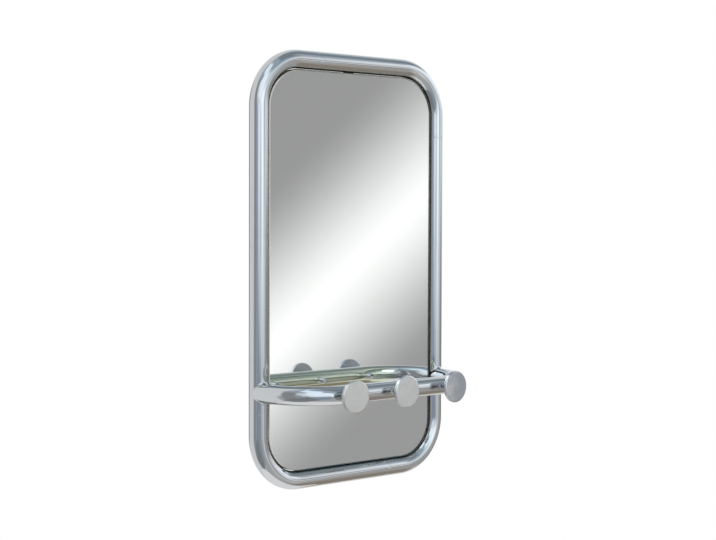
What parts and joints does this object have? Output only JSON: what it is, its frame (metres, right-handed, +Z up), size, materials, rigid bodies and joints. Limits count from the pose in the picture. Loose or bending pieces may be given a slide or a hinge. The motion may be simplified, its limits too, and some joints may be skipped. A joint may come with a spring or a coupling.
{
  "type": "wall mirror with hooks",
  "caption": "Tall wall mirror in a bent chromed tube frame, with a bowed tube rail across its lower part that carries round disc hooks with pegs behind.",
  "frame": {"origin": "on the wall plane, midway between the seats of the two hanger slots", "axes": "+X to the right as seen from the front, +Y towards the wall, +Z up; the mirror faces -Y"},
  "size_m": [0.411, 0.1589, 0.702],
  "materials": {
    "chrome_tube": "bright chrome plate with light wear",
    "plated_weld": "chrome plate over a dressed weld",
    "turned_knob": "satin face with a bright rim",
    "chrome_peg": "bright",
    "plain_steel": "unplated",
    "mirror_glass": "clear, ground edge",
    "silvering": "silvered",
    "tape": "foam tape",
    "board": "plywood stained black",
    "chrome_tab": "plated, dull",
    "zinc_plate": "zinc plated",
    "zinc_screw": "zinc plated",
    "bumper_rubber": "moulded"
  },
  "bodies": {
    "root": {"frame_tube": "chrome_tube", "joint_sleeve": "plain_steel", "hook_rail": "chrome_tube", "rail_weld_left": "plated_weld", "rail_weld_right": "plated_weld", "hook_knob_left": "turned_knob", "hook_knob_centre": "turned_knob", "hook_knob_right": "turned_knob", "hook_peg_left": "chrome_peg", "hook_peg_centre": "chrome_peg", "hook_peg_right": "chrome_peg", "hook_studs": "plain_steel", "rail_spacers": "plain_steel", "mirror_glass": "mirror_glass", "mirror_silvering": "silvering", "mounting_tapes": "tape", "backing_board": "board", "panel_tabs": "chrome_tab", "tab_welds": "plated_weld", "panel_screws": "zinc_screw", "hanger_left": "zinc_plate", "hanger_right": "zinc_plate", "hanger_screws": "zinc_screw", "wall_bumpers": "bumper_rubber", "bumper_screws": "zinc_screw"}
  },
  "joints": []
}
